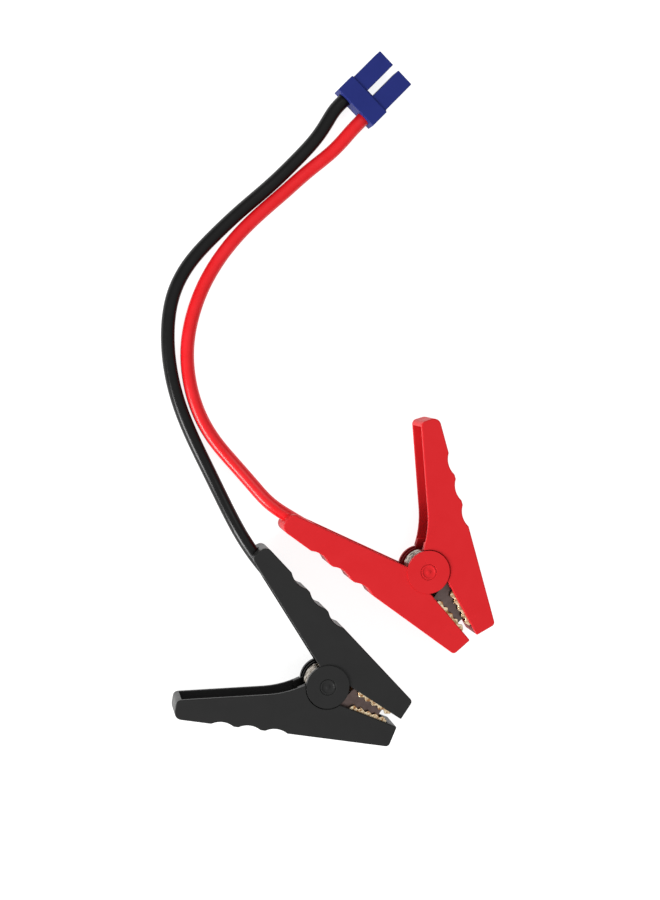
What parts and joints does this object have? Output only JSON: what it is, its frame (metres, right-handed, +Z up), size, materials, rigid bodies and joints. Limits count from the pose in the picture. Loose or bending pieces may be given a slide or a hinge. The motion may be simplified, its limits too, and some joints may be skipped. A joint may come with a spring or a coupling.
{
  "type": "jump starter clamp lead",
  "caption": "Clamp lead that plugs into a jump starter: flat pronged plug, black and red silicone cables, and a sprung toothed clamp on each, with jaws that open.",
  "frame": {"origin": "on the surface that the lead lies on, under the middle of the box round the plug and both clamps", "axes": "+Y from the clamps towards the plug, +Z up, away from the surface; the clamps lie on their sides with their pivots along Z"},
  "size_m": [0.1561, 0.3264, 0.0232],
  "materials": {
    "blue_nylon": "satin moulded nylon",
    "gilt_contact": "gold-plated",
    "red_silicone": "satin silicone",
    "black_silicone": "satin silicone",
    "copper_strand": "bare stranded copper",
    "red_plastic": "semi-gloss moulded",
    "black_plastic": "satin moulded",
    "coppered_steel": "copper-plated stamped steel",
    "zinc_steel": "zinc-plated",
    "tinned_copper": "tinned",
    "copper_braid": "woven braid",
    "spring_steel": "drawn spring wire"
  },
  "bodies": {
    "lead": {"plug_body": "blue_nylon", "plug_back_cap": "blue_nylon", "positive_contact": "gilt_contact", "negative_contact": "gilt_contact", "red_cable": "red_silicone", "black_cable": "black_silicone", "red_conductor_ends": "copper_strand", "black_conductor_ends": "copper_strand", "red_cable_jaw_shell": "red_plastic", "red_cable_jaw_plate": "coppered_steel", "red_cable_plate_screws": "zinc_steel", "red_cable_lug": "tinned_copper", "red_lug_screw": "zinc_steel", "red_braid_strap": "copper_braid", "red_torsion_spring": "spring_steel", "red_pivot_pin": "zinc_steel", "red_pin_washer": "zinc_steel", "red_pivot_caps": "red_plastic", "black_cable_jaw_shell": "black_plastic", "black_cable_jaw_plate": "coppered_steel", "black_cable_plate_screws": "zinc_steel", "black_cable_lug": "tinned_copper", "black_lug_screw": "zinc_steel", "black_braid_strap": "copper_braid", "black_torsion_spring": "spring_steel", "black_pivot_pin": "zinc_steel", "black_pin_washer": "zinc_steel", "black_pivot_caps": "black_plastic"},
    "red_free_jaw": {"red_free_jaw_shell": "red_plastic", "red_free_jaw_plate": "coppered_steel", "red_free_plate_screws": "zinc_steel"},
    "black_free_jaw": {"black_free_jaw_shell": "black_plastic", "black_free_jaw_plate": "coppered_steel", "black_free_plate_screws": "zinc_steel"}
  },
  "joints": [
    {"name": "red_jaw_hinge", "type": "hinge", "parent": "lead", "child": "red_free_jaw", "pos_m": [0.04372, -0.08071, 0.0116], "axis": [0, 0, 1], "range_deg": [0, 40], "stiffness_Nm_per_rad": 0.9, "springref_deg": -28.65, "deforming": ["red_torsion_spring", "red_braid_strap"]},
    {"name": "black_jaw_hinge", "type": "hinge", "parent": "lead", "child": "black_free_jaw", "pos_m": [-0.00439, -0.13394, 0.0116], "axis": [0, 0, -1], "range_deg": [0, 40], "stiffness_Nm_per_rad": 0.9, "springref_deg": -28.65, "deforming": ["black_torsion_spring", "black_braid_strap"]}
  ]
}
